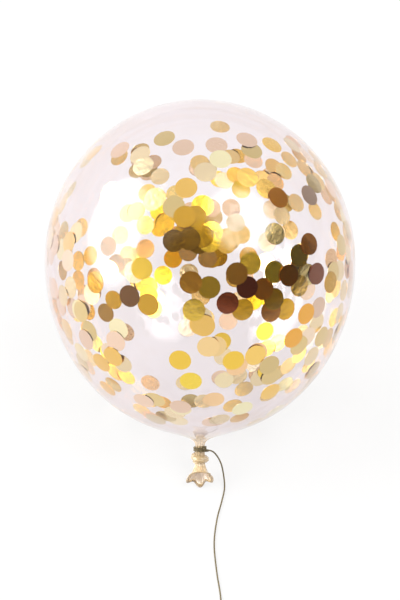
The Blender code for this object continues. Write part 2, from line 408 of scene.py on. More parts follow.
def ring_mesh(name: str, rings: Array, ends: Array | None = None, along: Array | None = None) -> Mesh:
    """Makes a closed mesh through rings of points.

    Quads join each ring to the next. With ends, a fan of triangles closes each end at its own point;
    without, the last ring joins the first. The faces are turned over if they enclose a negative volume.
    The map runs once round each ring and by the given length along them.

    Args:
        name: the mesh's name.
        rings: points, as rows by columns by three.
        ends: the two end points, or None for a loop.
        along: the map's second value for each row, or None for the row's share.

    Returns:
        The mesh, shaded smooth, with a UV map.
    """
    rows, columns = rings.shape[:2]
    row, column = np.mgrid[: rows - (ends is not None), :columns]
    corners = [(row + i, column + j) for i, j in ((0, 0), (0, 1), (1, 1), (1, 0))]
    quads = np.stack([r % rows * columns + c % columns for r, c in corners], -1).reshape(-1, 4)
    reach = np.arange(rows) / (rows - 1) if along is None else along
    reach = np.append(reach, 2.0 * reach[-1] - reach[-2])
    chart = np.stack([np.stack([c / columns, reach[r]], -1) for r, c in corners], -2)
    points, faces, charts = rings.reshape(-1, 3), [quads], [chart.reshape(-1, 4, 2)]
    if ends is not None:
        points = np.concatenate([points, ends])
        for end, sides in enumerate(((1, 0), (0, 1))):
            rim = end * (rows - 1)
            fan = [rim * columns + (column[0] + side) % columns for side in sides]
            faces.append(np.stack([*fan, np.full(columns, rows * columns + end)], -1))
            u = (column[0][:, None] + [*sides, 0.5]) / columns
            charts.append(np.stack([u, np.full_like(u, reach[rim])], -1))
    triangles = np.concatenate([quads[:, [0, 1, 2]], quads[:, [0, 2, 3]], *faces[1:]])
    a, b, c = points[triangles].transpose(1, 0, 2)
    if np.einsum("ij,ij->", a, np.cross(b, c)) < 0.0:
        faces, charts = ([block[:, ::-1] for block in blocks] for blocks in (faces, charts))
    mesh = bpy.data.meshes.new(name)
    mesh.from_pydata(points.tolist(), [], [face for block in faces for face in block.tolist()])
    layer = mesh.uv_layers.new(name="chart")
    layer.data.foreach_set("uv", np.concatenate([block.reshape(-1) for block in charts]))
    mesh.shade_smooth()
    return mesh


def tube_rings(path: Array, radius: Values, facing: Array, sides: int) -> Array:
    """Rings round a path. The side vector is the path's direction crossed with a facing vector.

    Args:
        path: the points that the tube follows.
        radius: one number, or points by sides.
        facing: a vector that the path never runs along.
        sides: points in each ring.

    Returns:
        Points by sides by three.
    """
    run = unit(np.gradient(path, axis=0))
    side = unit(np.cross(run, facing))
    lift = np.cross(side, run)
    angle = even_angles(sides)[:, None]
    ring = np.cos(angle) * side[:, None] + np.sin(angle) * lift[:, None]
    return path[:, None] + np.broadcast_to(radius, ring.shape[:2])[..., None] * ring


def closed_tube(loop: Array, radius: float, facing: Array, sides: int) -> Array:
    """Rings of one radius round a closed loop, whose last point is beside its first."""
    around = np.concatenate([loop[-1:], loop, loop[:1]])
    return tube_rings(around, radius, facing, sides)[1:-1]


def lengths_along(path: Array) -> Array:
    """Distance from a path's start to each of its points."""
    return np.concatenate([[0.0], np.cumsum(np.linalg.norm(np.diff(path, axis=0), axis=1))])


def respaced(path: Array, spacing: float = 0.0010) -> Array:
    """Points at even distances along a path, by straight lines between its own points.

    Args:
        path: the path's points.
        spacing: about how far apart the new ones are.

    Returns:
        The new points, with the same two ends.
    """
    length = lengths_along(path)
    places = np.linspace(0.0, length[-1], max(2, round(length[-1] / spacing) + 1))
    return np.stack([np.interp(places, length, column) for column in path.T], -1)


def curve_through(points: Array, steps: int = 40) -> Array:
    """Smooth curve: a cubic in each gap.

    It leads off from each point by a sixth of the way from the point before to the point after.

    Args:
        points: the points that it passes through.
        steps: new points in each gap.

    Returns:
        The curve's points.
    """
    ends = np.concatenate([[2 * points[0] - points[1]], points, [2 * points[-1] - points[-2]]])
    p0, p1, p2, p3 = (ends[i : len(ends) - 3 + i][:, None] for i in range(4))
    share = (np.arange(steps) / steps)[:, None]
    fine = cubic([p1, p1 + (p2 - p0) / 6, p2 - (p3 - p1) / 6, p2], share)
    return np.concatenate([fine.reshape(-1, 3), points[-1:]])


@dataclass(frozen=True)
class BalloonForm:
    """Sizes of the balloon along its own axis, measured from its widest circle, crown up.

    The rows are the outline's points on the crown, the base, the shoulder and the neck.
    """

    radius: float = 0.145
    crown_height: float = 0.151
    base_depth: float = 0.163
    shoulder_angle: float = math.radians(73)
    shoulder_reach: float = 0.024
    neck_radius: float = 0.0045
    neck_start: float = 0.009
    neck_length: float = 0.0068
    neck_blend: float = 0.008
    knot_radius: float = 0.0068
    knot_length: float = 0.0105
    rows: tuple[int, int, int, int] = (90, 84, 56, 11)

    @property
    def neck_top(self) -> float:
        """Height where the neck becomes straight."""
        return -self.base_depth - self.neck_start

    @property
    def tie_height(self) -> float:
        """Height of the middle of the string's wraps."""
        return self.neck_top - self.neck_length / 2

    @property
    def knot_height(self) -> float:
        """Height of the middle of the knot."""
        return self.neck_top - self.neck_length - self.knot_length / 2

    @property
    def tail_top(self) -> float:
        """Height where the knot ends and the tail starts."""
        return self.neck_top - self.neck_length - self.knot_length

    def outline(self) -> Array:
        """Radius and height down the outside.

        Two quarter ellipses meet at the widest circle. A cubic curve then draws the round base in to the
        straight neck, which runs on into the knot.

        Returns:
            Points by two, from just off the crown to inside the knot.
        """
        crown_rows, base_rows, shoulder_rows, neck_rows = self.rows
        high = np.linspace(np.pi / 2, 0.0, crown_rows)[1:]
        low = np.linspace(0.0, self.shoulder_angle, base_rows)[1:]
        crown = np.stack([self.radius * np.cos(high), self.crown_height * np.sin(high)], -1)
        base = np.stack([self.radius * np.cos(low), -self.base_depth * np.sin(low)], -1)
        along = -unit(np.array([self.radius * np.sin(low[-1]), self.base_depth * np.cos(low[-1])]))
        end = np.array([self.neck_radius, self.neck_top])
        leading = [base[-1] + along * self.shoulder_reach, end + [0.0, self.neck_blend]]
        share = np.linspace(0.0, 1.0, shoulder_rows)[1:, None]
        shoulder = cubic([base[-1], *leading, end], share)
        down = np.linspace(self.neck_top, self.knot_height, neck_rows)[1:]
        neck = np.stack([np.full_like(down, self.neck_radius), down], -1)
        return np.concatenate([crown, base, shoulder, neck])

    def wall(self, latitude: Array, azimuth: Array) -> tuple[Array, Array]:
        """The body's wall, as an ellipsoid whose upper and lower halves differ in height.

        Args:
            latitude: angle up from the widest circle.
            azimuth: angle round the axis.

        Returns:
            Points on the wall and the outward normals there, in the balloon's own frame.
        """
        height = np.where(latitude > 0.0, self.crown_height, self.base_depth)
        out, rise = np.cos(latitude), np.sin(latitude)
        normal = polar(out / self.radius, azimuth, rise / height)
        return polar(out * self.radius, azimuth, rise * height), unit(normal)


@dataclass(frozen=True)
class RestingFrame:
    """Where the balloon's own frame lies: its origin, and its three axes, in the row frame."""

    origin: Array
    axes: Array

    @classmethod
    def from_record(cls, record: dict[str, Any], form: BalloonForm) -> "RestingFrame":
        """Reads the axis from the mount at the neck's tie.

        Args:
            record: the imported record.
            form: the balloon's sizes, which say how far the tie is from the widest circle.

        Returns:
            The frame.
        """
        tie = next(m for m in record["mounts"] if m["name"] == "neck_tie")
        crownward = -unit(np.array(tie["axis"], float))
        across = np.array([1.0, 0.0, 0.0])
        origin = np.array(tie["pos_m"], float) - crownward * form.tie_height
        return cls(origin, np.stack([across, np.cross(crownward, across), crownward]))

    def to_row(self, points: Array) -> Array:
        """Carries points from the balloon's own frame to the row frame."""
        return self.origin + points @ self.axes

    def turned(self, vectors: Array) -> Array:
        """Turns vectors from the balloon's own frame to the row frame."""
        return vectors @ self.axes


@dataclass
class Part:
    """A part of the balloon: the form that it belongs to, where that lies, and its material."""

    form: BalloonForm
    rest: RestingFrame
    finish: Material
    slot: ClassVar[str] = "latex"

    def add(self, name: str, mesh: Mesh, *nodes: str, **values: Array) -> Piece:
        """Puts a mesh in the scene as a piece.

        Args:
            name: the piece's name.
            mesh: its mesh, already where it belongs.
            nodes: the CAD nodes that it stands for.
            values: what its points carry: each one number, or red, green, blue and alpha.

        Returns:
            The new object.
        """
        for key, value in values.items():
            kind, channel = (("FLOAT", "value"), ("FLOAT_COLOR", "color"))[value.ndim - 1]
            layer = mesh.attributes.new(key, kind, "POINT")
            layer.data.foreach_set(channel, value.astype(np.float32).reshape(-1))
        made = linked(name, mesh)
        mesh.materials.append(self.finish)
        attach(made, "root")
        if nodes:
            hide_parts(*nodes)
        log.info("%s: %d faces", name, len(mesh.polygons))
        return made

    def add_rubber(self, name: str, rings: Array, ends: Array, dense: Array, tips: list[float]) -> None:
        """Adds a closed piece of latex through rings of points in the row frame.

        Args:
            name: the piece's name.
            rings: rows by columns by three.
            ends: the two end points, in the balloon's own frame.
            dense: how little the rubber is stretched, from 0 to 1, for each point or each row, with painted
                shade added in the knot's valleys and at the tail's lip.
            tips: the same at the two ends.
        """
        mesh = ring_mesh(name, rings, self.rest.to_row(ends))
        spread = np.broadcast_to(dense, rings.shape[:2])
        self.add(name, mesh, "balloon", dense=np.append(spread, tips))


@dataclass
class LatexSkin(Part):
    """The balloon's body and neck, one thin closed film."""

    columns: int = 288
    pleats: int = 11
    fine_pleats: int = 17
    fine_phase: float = 1.0
    pleat_depth: float = 0.16
    pleat_reach: float = 0.0115
    pleat_wander: float = 0.7
    fine_share: float = 0.3
    press_softness: float = 0.0009
    dense_reach: float = 0.0177
    neck_density: float = 0.62
    crown_spot: float = 0.011
    crown_density: float = 0.10

    def build(self) -> None:
        """Turns the outline about the axis, gathers the neck and presses the resting side flat.

        A pleat's depth falls off as a bell curve of the distance from the neck, and so does the rubber's
        density. A smaller bell curve makes the spot at the crown denser.
        """
        form, angle = self.form, even_angles(self.columns)
        radius, height = form.outline().T[..., None]
        from_neck = np.hypot(radius - form.neck_radius, np.maximum(height - form.neck_top, 0.0))
        from_crown = np.hypot(radius, form.crown_height - height)
        broad = np.cos(self.pleats * angle + self.pleat_wander * np.sin(2 * angle))
        fine = np.cos(self.fine_pleats * angle + self.fine_phase)
        waves = (1.0 - self.fine_share) * broad + self.fine_share * fine
        gather = self.pleat_depth * bell(from_neck, self.pleat_reach)
        wide = radius * (1.0 - gather * (0.5 - 0.5 * waves))
        rings = self.rest.to_row(polar(wide, angle, height))
        rings[..., 2] = lifted(rings[..., 2], self.press_softness)
        dense = self.neck_density * bell(from_neck, self.dense_reach)
        dense = dense + self.crown_density * bell(from_crown, self.crown_spot)
        ends = np.outer([form.crown_height, form.knot_height], UPWARD)
        self.add_rubber("latex_skin", rings, ends, dense, [self.crown_density, self.neck_density])


@dataclass
class LatexKnot(Part):
    """The overhand knot in the neck: a rolled strand that wraps it, creased along its length.

    A crease is its depth, its count round the strand, how far it wanders round it, and its phase.
    """

    strand_radius: float = 0.0030
    swell: float = 0.20
    turns: float = 1.7
    reach: float = 0.80
    end_reach: float = 0.12
    opening: float = 1.6
    tilt: float = math.radians(14)
    creases: tuple[tuple[float, int, float, float], ...] = ((0.06, 7, 5.0, 0.0), (0.035, 13, -9.0, 1.3))
    pinches: int = 13
    pinch_depth: float = 0.03
    stations: int = 150
    sides: int = 40
    density: float = 0.68
    valley_painted_shade: float = 0.22
    valley_shade_gain: float = 7.0

    def build(self) -> None:
        """Carries a creased ring along a tilted helix whose ends sink into the neck.

        The strand's radius swells towards its middle, and its shallow valleys get painted shade: a higher
        value that darkens their milky colour.
        """
        share = np.linspace(0.0, 1.0, self.stations)
        middle = np.sin(np.pi * share)
        reach = self.form.knot_radius * self.reach * np.minimum(1.0, middle * self.opening + self.end_reach)
        rise = (self.form.knot_length - self.strand_radius) * (0.5 - share)
        x, y, z = polar(reach, TURN * self.turns * share, rise).T
        lean, drop = math.cos(self.tilt), math.sin(self.tilt)
        path = np.stack([x, y * lean - z * drop, y * drop + z * lean + self.form.knot_height], -1)
        along, around = share[:, None], even_angles(self.sides)
        relief = sum(d * np.cos(n * around + w * along + p) for d, n, w, p in self.creases)
        relief = relief + self.pinch_depth * np.sin(TURN * self.pinches * along)
        swell = self.strand_radius * (1.0 - self.swell + self.swell * middle)
        rings = tube_rings(path, swell[:, None] * (1.0 + relief), UPWARD, self.sides)
        # Painted shade: the strand's valleys get a higher value, which darkens their milky colour.
        dense = self.density + self.valley_painted_shade * np.clip(0.5 - relief * self.valley_shade_gain, 0.0, 1.0)
        ends = path[[0, -1]]
        self.add_rubber("latex_knot", self.rest.to_row(rings), ends, dense, [self.density] * 2)


@dataclass
class LatexTail(Part):
    """The tail below the knot: a thin flared wall with a rolled lip, gathered into uneven folds.

    A ripple is its depth, its count and its phase round the axis. The outside, the lip and the inside are
    each the first and the last share of the length, or angle, and the number of rows.
    """

    top_radius: float = 0.0046
    length: float = 0.0160
    bend: float = math.radians(42)
    flare: float = 1.4
    lip_radius: float = 0.0112
    lip_roll: float = 0.00115
    lip_wave: float = 0.0026
    outside: tuple[float, float, int] = (-0.25, 0.93, 40)
    lip: tuple[float, float, int] = (50.0, -215.0, 18)
    inside: tuple[float, float, int] = (0.88, 0.12, 30)
    wall: float = 0.0007
    folds: int = 5
    fold_depth: float = 0.11
    ripples: tuple[tuple[float, int, float], ...] = ((0.030, 2, 1.1), (0.022, 9, 0.4))
    crease: tuple[float, int, float] = (0.045, 16, 0.8)
    gather_middle: float = 0.1
    gather_reach: float = 0.7
    columns: int = 180
    density: float = 0.66
    lip_density_and_shade: float = 0.95
    lip_start: float = 0.86
    lip_blend: float = 0.1
    root_density: float = 0.15
    root_end: float = 0.25
    root_blend: float = 0.3
    end_densities: tuple[float, float] = (0.9, 0.8)
    least_height: float = 0.0001

    def outline(self) -> tuple[Array, Array]:
        """Radius and share of the tail's length: down its outside, round the lip, and up inside.

        The wall flares with a power of the share. The lip is most of a circle.

        Returns:
            The radii and the shares.
        """
        down, turn, up = (np.linspace(*run) for run in (self.outside, self.lip, self.inside))
        widening, turn = self.lip_radius - self.top_radius, np.radians(turn)
        outer, inner = (self.top_radius + widening * np.maximum(s, 0.0) ** self.flare for s in (down, up))
        lip_radii = self.lip_radius - self.wall / 2 + self.lip_roll * np.cos(turn)
        lip_shares = 1.0 - self.lip_roll * (1.0 - np.sin(turn)) / self.length
        radii = np.concatenate([outer, lip_radii, inner - self.wall])
        return radii, np.concatenate([down, lip_shares, up])

    def carried(self, radius: Array, share: Array, angle: Array) -> Array:
        """Gathers and bends the tail.

        Folds and ripples widen and narrow the ring with the share of the length, and creases gather it
        below the knot. The middle line bends evenly towards the viewer's side, and each ring stays square
        to it.

        Args:
            radius: the plain radius.
            share: the share of the tail's length.
            angle: the angle round the axis, a fold pointing down at a quarter turn.

        Returns:
            Points in the balloon's own frame.
        """
        opened = np.maximum(share, 0.0)
        fold = np.cos(self.folds * (angle - np.pi / 2))
        uneven = self.fold_depth * fold + sum(d * np.cos(n * angle + p) for d, n, p in self.ripples)
        depth, count, phase = self.crease
        gathered = smooth(1.0 - np.abs(share - self.gather_middle) / self.gather_reach)
        creases = depth * np.cos(count * angle + phase) * gathered
        wide = radius * (1.0 + uneven * opened + creases)
        waved = share - self.lip_wave / self.length * opened * (1.0 - fold) / 2
        bend, bow = self.bend * np.maximum(waved, 0.0), self.length / self.bend
        across = wide * np.sin(angle)
        y = across * np.cos(bend) - bow * (1.0 - np.cos(bend))
        z = self.form.tail_top - bow * np.sin(bend) - across * np.sin(bend)
        z = z - np.minimum(waved, 0.0) * self.length
        return np.stack(np.broadcast_arrays(wide * np.cos(angle), y, z), -1)

    def build(self) -> None:
        """Turns the outline and carries it. The rubber is denser at the knot and densest at the lip, where
        painted shade is added.
        """
        radius, share = (column[:, None] for column in self.outline())
        rings = self.rest.to_row(self.carried(radius, share, even_angles(self.columns)))
        rings[..., 2] = np.maximum(rings[..., 2], self.least_height)
        ends = self.carried(np.zeros(2), share[[0, -1], 0], np.zeros(2))
        lip = smooth((share - self.lip_start) / self.lip_blend)
        root = smooth((self.root_end - share) / self.root_blend)
        # The lip's near-full value is partly its thicker rolled rubber and partly painted shade along the
        # edge.
        dense = self.density + (self.lip_density_and_shade - self.density) * lip + self.root_density * root
        self.add_rubber("latex_tail", rings, ends, dense, [*self.end_densities])


class Wall(Enum):
    """The side of the balloon that confetti clings to, as its viewer sees it."""

    NEAR = 1.0
    FAR = -1.0


class Foil(Enum):
    """Linear colours of the foil discs. The last four are painted dark reflections: gold foil darkened to
    stand in for the dark room that it mirrors.
    """

    GOLD = (0.93, 0.62, 0.14)
    YELLOW = (0.94, 0.66, 0.06)
    CHAMPAGNE = (0.92, 0.69, 0.30)
    PEACH = (0.90, 0.60, 0.31)
    STRAW = (0.78, 0.63, 0.27)
    IVORY = (0.96, 0.82, 0.50)
    BLUSH = (0.95, 0.74, 0.54)
    OLIVE = (0.66, 0.39, 0.02)
    AMBER = (0.92, 0.49, 0.06)
    BRONZE = (0.82, 0.34, 0.02)
    # Painted dark reflection: these last four are gold foil darkened as if mirroring the dark room.
    DARK_REFLECTION_MAROON = (0.29, 0.07, 0.006)
    DARK_REFLECTION_RUSSET = (0.19, 0.085, 0.02)
    DARK_REFLECTION_UMBER = (0.38, 0.21, 0.004)
    DARKEST_REFLECTION = (0.20, 0.06, 0.004)


NEAR, FAR = Wall
GOLD, YELLOW, CHAMPAGNE, PEACH, STRAW, IVORY, BLUSH, OLIVE, AMBER, BRONZE, DARK_REFLECTION_MAROON, DARK_REFLECTION_RUSSET, DARK_REFLECTION_UMBER, DARKEST_REFLECTION = Foil


@dataclass(frozen=True)
class Clump:
    """Discs that cling together, and take the clump's foils by turns."""

    across: float
    up: float
    wall: Wall
    count: int
    spread: float
    foils: Sequence[Foil]


class Discs(NamedTuple):
    """Places and colours of discs: where each touches the wall, and its linear colour."""

    latitude: Array
    azimuth: Array
    tint: Array

    @classmethod
    def joined(cls, groups: list["Discs"]) -> "Discs":
        """All the discs of several groups, in order."""
        return cls(*map(np.concatenate, zip(*groups)))


@dataclass(frozen=True)
class Viewer:
    """Where the balloon is viewed from, in its own frame: straight out from its side, a little low."""

    form: BalloonForm
    distance: float = 1.56
    drop: float = 0.036

    def touches(self, across: Any, up: Any, wall: Wall) -> tuple[Array, Array]:
        """Finds where a line of sight meets the wall.

        In a space scaled to make the wall a unit sphere, the line runs from the eye through a point of the
        outline's plane. It meets the sphere where a quadratic in the share of the way holds.

        Args:
            across: shares of the half width, to the viewer's right.
            up: shares of the half height.
            wall: the near or the far meeting point.

        Returns:
            Latitudes and azimuths.
        """
        across, up = np.atleast_1d(across), np.atleast_1d(up)
        level, height = 0.0 * up, np.where(up > 0.0, self.form.crown_height, self.form.base_depth)
        eye = np.stack([level, level - self.distance / self.form.radius, -self.drop / height], -1)
        ray = np.stack([across, level, up], -1) - eye
        a, b, c = np.sum(ray * ray, -1), np.sum(ray * eye, -1), np.sum(eye * eye, -1) - 1.0
        share = (-b - wall.value * np.sqrt(np.maximum(b * b - a * c, 0.0))) / a
        point = unit(eye + share[..., None] * ray)
        return np.arcsin(point[..., 2]), np.arctan2(point[..., 1], point[..., 0])


@dataclass
class Confetti(Part):
    """Round foil discs sealed inside the balloon, which cling to its wall.

    Across and up are shares of the balloon's half width and half height, from its middle as it is viewed.
    The mix gives each foil's shares on the near wall, on the far wall and at the rim; the far wall and the
    rim take more of the pale foils, which is painted light on discs that mirror the shaded floor. Set discs
    are on the near wall. A bare patch, which scattered discs keep off, is its middle, its wall and its
    reach.
    """

    viewer: Viewer
    disc_radius: float = 0.0098
    thickness: float = 0.00012
    wall_gap: float = 0.0004
    layer_gap: float = 0.0002
    pressed_gap: float = 0.0012
    press_softness: float = 0.0006
    scattered: int = 246
    tries: int = 4000
    bare_crown: float = math.radians(46)
    bare_base: float = math.radians(-67)
    clump_reach: float = 0.985
    spacing: float = 0.0118
    tilt: float = math.radians(0.7)
    swell: float = math.radians(2.2)
    swell_length: float = 0.075
    swells: int = 3
    doming: float = 0.5
    warp: float = 0.8
    sides: int = 16
    sharp_angle: float = math.radians(40)
    shade: float = 0.08
    tint_limits: tuple[float, float] = (0.02, 0.97)
    seed: int = 41
    rim_start: float = 0.62
    # Painted light: the far wall and rim columns favour pale foils so discs there stay pale despite the
    # shaded floor they mirror.
    mix: tuple[tuple[Foil, float, float, float], ...] = (
        (GOLD, 0.26, 0.06, 0.04),
        (YELLOW, 0.12, 0.03, 0.02),
        (CHAMPAGNE, 0.20, 0.22, 0.16),
        (PEACH, 0.07, 0.05, 0.06),
        (STRAW, 0.12, 0.12, 0.10),
        (IVORY, 0.15, 0.32, 0.33),
        (BLUSH, 0.08, 0.20, 0.29),
    )
    # Set discs; those with the darkest foils show painted dark reflection.
    set_discs: tuple[tuple[float, float, Foil], ...] = (
        (0.51, 0.40, BRONZE), (0.71, 0.11, BRONZE), (0.65, 0.04, YELLOW), (0.76, -0.07, DARKEST_REFLECTION),
        (0.58, -0.08, BRONZE), (0.49, -0.06, YELLOW), (0.65, -0.14, GOLD), (0.85, -0.12, OLIVE),
        (0.24, -0.07, AMBER), (0.31, -0.15, DARK_REFLECTION_MAROON), (0.42, -0.16, BRONZE), (0.18, -0.24, DARK_REFLECTION_MAROON),
        (0.28, -0.28, OLIVE), (0.49, -0.22, OLIVE), (0.47, -0.29, BRONZE), (0.57, -0.28, OLIVE),
        (-0.06, -0.12, AMBER), (0.06, -0.15, YELLOW), (-0.04, -0.28, YELLOW), (-0.17, 0.13, DARK_REFLECTION_UMBER),
        (-0.07, 0.14, DARK_REFLECTION_UMBER), (-0.10, 0.28, OLIVE), (0.33, -0.01, YELLOW), (-0.46, -0.20, DARK_REFLECTION_RUSSET),
        (-0.34, -0.25, OLIVE), (-0.68, -0.12, DARK_REFLECTION_UMBER), (-0.38, -0.04, YELLOW), (-0.13, -0.57, YELLOW),
        (-0.06, -0.69, YELLOW), (-0.09, 0.46, GOLD), (-0.59, 0.40, PEACH),
    )
    clumps: tuple[Clump, ...] = (
        Clump(-0.01, 0.19, NEAR, 6, 0.008, (OLIVE, OLIVE, YELLOW)),
        Clump(0.02, 0.26, FAR, 5, 0.012, (OLIVE, GOLD)),
        Clump(0.10, 0.06, FAR, 7, 0.010, (OLIVE, YELLOW)),
        Clump(-0.22, -0.10, FAR, 9, 0.014, (CHAMPAGNE, YELLOW, GOLD)),
        Clump(0.24, 0.10, FAR, 4, 0.009, (YELLOW, GOLD)),
        Clump(-0.36, 0.36, FAR, 5, 0.012, (YELLOW, CHAMPAGNE)),
        Clump(0.38, -0.22, FAR, 5, 0.015, (OLIVE, GOLD)),
        Clump(0.04, -0.44, NEAR, 4, 0.008, (CHAMPAGNE, GOLD)),
        Clump(0.36, -0.50, NEAR, 8, 0.016, (GOLD, STRAW, YELLOW, PEACH)),
        Clump(0.64, -0.42, NEAR, 5, 0.014, (AMBER, STRAW, CHAMPAGNE)),
        Clump(0.14, -0.83, NEAR, 3, 0.014, (IVORY, BLUSH)),
        Clump(-0.14, -0.84, NEAR, 2, 0.006, (BLUSH, IVORY)),
        Clump(0.22, -0.66, FAR, 4, 0.014, (IVORY, BLUSH)),
        Clump(-0.66, -0.46, NEAR, 4, 0.014, (STRAW, GOLD, BLUSH)),
        Clump(0.90, 0.02, NEAR, 6, 0.022, (STRAW, BLUSH)),
        Clump(0.88, -0.30, NEAR, 4, 0.016, (STRAW, YELLOW, BLUSH)),
        Clump(-0.90, 0.08, NEAR, 3, 0.016, (BLUSH, IVORY)),
        Clump(-0.84, -0.26, NEAR, 3, 0.014, (IVORY, BLUSH)),
        Clump(0.12, 0.60, FAR, 6, 0.016, (GOLD, BLUSH, IVORY)),
        Clump(-0.36, 0.62, FAR, 5, 0.014, (STRAW, BLUSH, IVORY)),
        Clump(0.60, 0.60, FAR, 5, 0.016, (CHAMPAGNE, BLUSH)),
    )
    bare_patches: tuple[tuple[float, float, Wall, float], ...] = (
        (-0.30, -0.46, NEAR, 0.034), (-0.30, -0.50, FAR, 0.030), (-0.55, 0.18, NEAR, 0.034),
        (0.26, 0.27, NEAR, 0.034), (-0.72, 0.52, NEAR, 0.036), (-0.70, 0.50, FAR, 0.034),
        (0.36, -0.14, NEAR, 0.042), (-0.10, 0.02, NEAR, 0.036), (0.66, 0.00, NEAR, 0.032),
        (0.05, -0.58, NEAR, 0.030), (0.00, -0.62, FAR, 0.030), (-0.27, -0.20, FAR, 0.040),
        (0.52, -0.30, FAR, 0.036), (-0.60, -0.74, NEAR, 0.030), (0.60, -0.76, NEAR, 0.026),
    )
    random: np.random.Generator = field(init=False)

    def __post_init__(self) -> None:
        """Starts the seeded draw."""
        self.random = np.random.default_rng(self.seed)

    def held(self, spread: float, count: int) -> Array:
        """Pairs of normal draws about 0, held within twice their spread."""
        return np.clip(self.random.normal(0.0, spread, (count, 2)), -2.0 * spread, 2.0 * spread)

    def shaded(self, foils: Sequence[Foil]) -> Array:
        """A colour for each disc, some lighter and some darker than its foil's."""
        shade = self.random.normal(1.0, self.shade, (len(foils), 1))
        return np.clip(np.array([f.value for f in foils]) * shade, *self.tint_limits)

    def placed(self) -> Discs:
        """The discs that are set one by one."""
        across, up, foils = zip(*self.set_discs)
        return Discs(*self.viewer.touches(across, up, NEAR), self.shaded(foils))

    def clumped(self, clump: Clump) -> Discs:
        """Draws a clump's discs about its middle, held inside the outline.

        Args:
            clump: the clump.

        Returns:
            The discs.
        """
        drift = self.random.normal(0.0, clump.spread / self.form.radius, (clump.count, 2))
        across, up = clump.across + drift[:, 0], clump.up + drift[:, 1]
        reach = np.maximum(np.hypot(across, up) / self.clump_reach, 1.0)
        places = self.viewer.touches(across / reach, up / reach, clump.wall)
        foils = [clump.foils[i % len(clump.foils)] for i in range(clump.count)]
        return Discs(*places, self.shaded(foils))

    def scatter(self) -> Discs:
        """Draws discs over the wall, evenly by area, below the bare crown and above the drawn-in base.

        A place is kept if it is far enough from those kept before and outside the bare patches. The near
        wall, the far wall and the rim draw their foils by their own shares in the mix, in that order.

        Returns:
            The discs.
        """
        low, high = math.sin(self.bare_base), math.sin(self.bare_crown)
        latitude = np.arcsin(self.random.uniform(low, high, self.tries))
        azimuth = self.random.uniform(0.0, TURN, self.tries)
        points, _ = self.form.wall(latitude, azimuth)
        open_wall = np.ones(len(points), bool)
        for across, up, wall, reach in self.bare_patches:
            middle, _ = self.form.wall(*self.viewer.touches(across, up, wall))
            open_wall &= np.linalg.norm(points - middle, axis=1) > reach
        kept: list[int] = []
        for i in np.flatnonzero(open_wall).tolist():
            apart = np.linalg.norm(points[kept] - points[i], axis=1) > self.spacing
            if len(kept) < self.scattered and apart.all():
                kept.append(i)
        steps = np.cumsum([shares for _, *shares in self.mix], axis=0)
        at_rim = np.hypot(points[kept, 0], points[kept, 2]) > self.rim_start * self.form.crown_height
        zone = np.where(at_rim, 2, (points[kept, 1] > 0.0).astype(int))
        drawn = np.sum(self.random.uniform(0.0, steps[-1][zone], len(kept)) > steps[:, zone], axis=0)
        return Discs(latitude[kept], azimuth[kept], self.shaded([self.mix[k][0] for k in drawn]))

    def leans(self, points: Array) -> Array:
        """How far each disc leans off the wall, eastward and northward.

        Sine waves across the wall make near discs lean alike, and each disc adds its own small lean.

        Args:
            points: where the discs touch the wall.

        Returns:
            Two angles for each disc.
        """
        own = self.held(self.tilt, len(points))
        runs = unit(self.random.normal(size=(self.swells, 2, 3)))
        starts = self.random.uniform(0.0, TURN, (self.swells, 2, 1))
        waves = np.sin(TURN / self.swell_length * (runs @ points.T) + starts)
        return own + self.swell / 2.0 * waves.sum(axis=0).T

    def disc_template(self) -> tuple[Array, list[list[int]]]:
        """One disc of unit thickness about the origin: two fans and a rim.

        Returns:
            Its points, and its faces as lists of point numbers.
        """
        n, angle = self.sides, even_angles(self.sides)
        rings = [polar(self.disc_radius, angle, half) for half in (0.5, -0.5)]
        points = np.concatenate([*rings, np.outer([0.5, -0.5], UPWARD)])
        pairs = [(i, (i + 1) % n) for i in range(n)]
        faces = [[i, j, 2 * n] for i, j in pairs] + [[n + j, n + i, 2 * n + 1] for i, j in pairs]
        return points, faces + [[n + i, n + j, j, i] for i, j in pairs]

    def clearances(self, points: Array, leans: Array, bulges: Array) -> Array:
        """How much further in than each disc every other disc must lie to pass under it.

        Over the part that two discs share, their heights differ by half the sum of their leans times the way
        between their middles, and by the difference of their leans, less the wall's own turn between them,
        times the half width and the half length of that part. Both bulges and a small gap are added.

        Args:
            points: where the discs touch the wall.
            leans: each disc's lean, as a vector along the wall.
            bulges: how far each disc's warp stands off its own plane.

        Returns:
            One number for each disc and each disc over it, minus infinity where the two lie apart.
        """
        way = points[:, None] - points[None]
        distance = np.linalg.norm(way, axis=2)
        shared = np.sum((leans[:, None] + leans[None]) / 2.0 * way, axis=2)
        turned = leans[None] - leans[:, None] - (1.0 - self.doming) / self.form.radius * way
        lengthwise = np.abs(np.sum(turned * way, axis=2)) / np.maximum(distance, TINY)
        crosswise = np.sqrt(np.maximum(np.sum(turned * turned, axis=2) - lengthwise**2, 0.0))
        half_wide = self.disc_radius - distance / 2.0
        half_long = np.sqrt(np.maximum(self.disc_radius**2 - distance**2 / 4.0, 0.0))
        needed = self.layer_gap + bulges[:, None] + bulges[None] + shared
        needed = needed + lengthwise * half_wide + crosswise * half_long
        return np.where(half_wide > 0.0, needed, -np.inf)

    def insets(self, own: Array, clearances: Array) -> tuple[Array, Array]:
        """Works out how far in each disc lies: its own least inset, or clear of all that lie over it.

        Args:
            own: the inset that keeps each disc clear of the wall.
            clearances: how much further in than each other disc it must lie.

        Returns:
            The insets, and how many discs lie between each disc and the wall.
        """
        inset, layer = own.copy(), np.zeros(len(own))
        for i, needed in enumerate(clearances):
            over = np.isfinite(needed[:i])
            inset[i] = np.max(inset[:i][over] + needed[:i][over], initial=own[i])
            layer[i] = np.max(layer[:i][over] + 1.0, initial=0.0)
        return inset, layer

